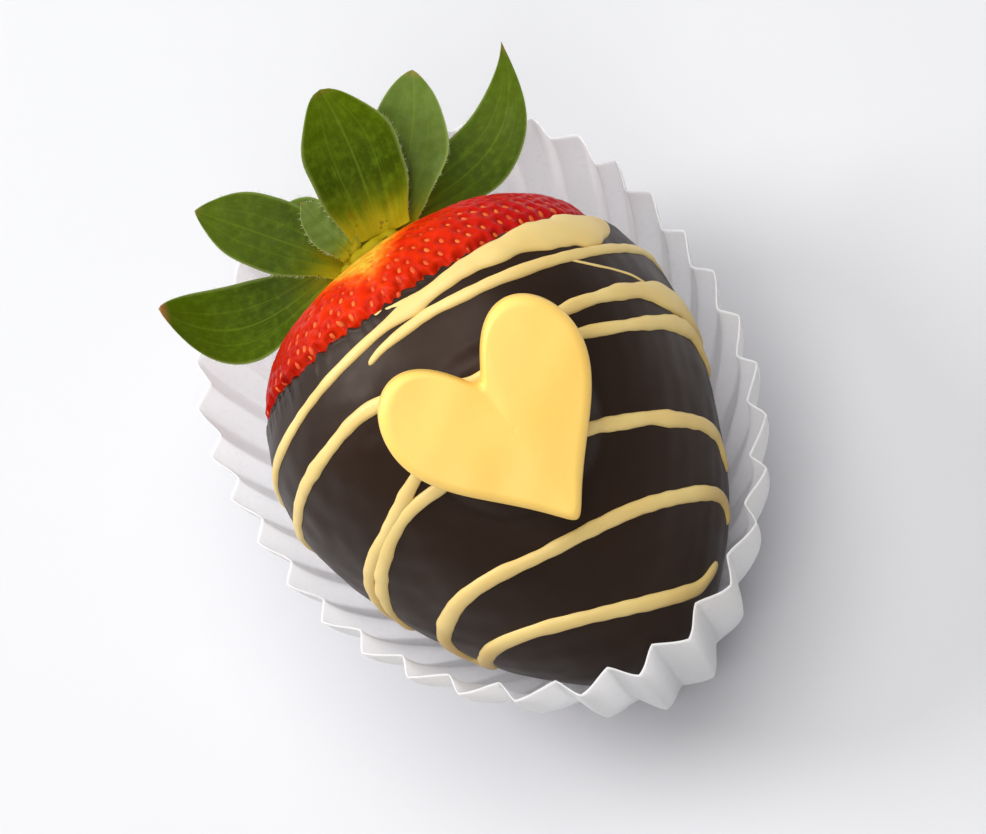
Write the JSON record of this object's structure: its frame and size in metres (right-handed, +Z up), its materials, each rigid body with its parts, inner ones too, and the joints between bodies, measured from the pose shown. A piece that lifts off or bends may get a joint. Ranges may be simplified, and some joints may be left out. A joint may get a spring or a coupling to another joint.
{
  "type": "chocolate coated strawberry",
  "caption": "Dark chocolate dipped strawberry lying on its side in a fluted white paper case, with bare red shoulder, green leaves and a plain moulded yellow heart on top.",
  "frame": {"origin": "middle of the paper case's flat base, on its underside", "axes": "+Z up; the berry's tip points to -Y and its leaves to +Y; +X is the berry's right side seen from the tip"},
  "size_m": [0.051, 0.0656, 0.0477],
  "materials": {
    "paper": "matte fluted paper",
    "flesh": "moist fruit skin with seeds",
    "dark_chocolate": "satin dark chocolate",
    "yellow_chocolate": "satin yellow-tinted white chocolate",
    "leaf": "soft green leaf"
  },
  "bodies": {
    "root": {"paper_case": "paper", "strawberry": "flesh", "chocolate_coat": "dark_chocolate", "heart": "yellow_chocolate", "leaf_crown": "leaf"}
  },
  "joints": []
}
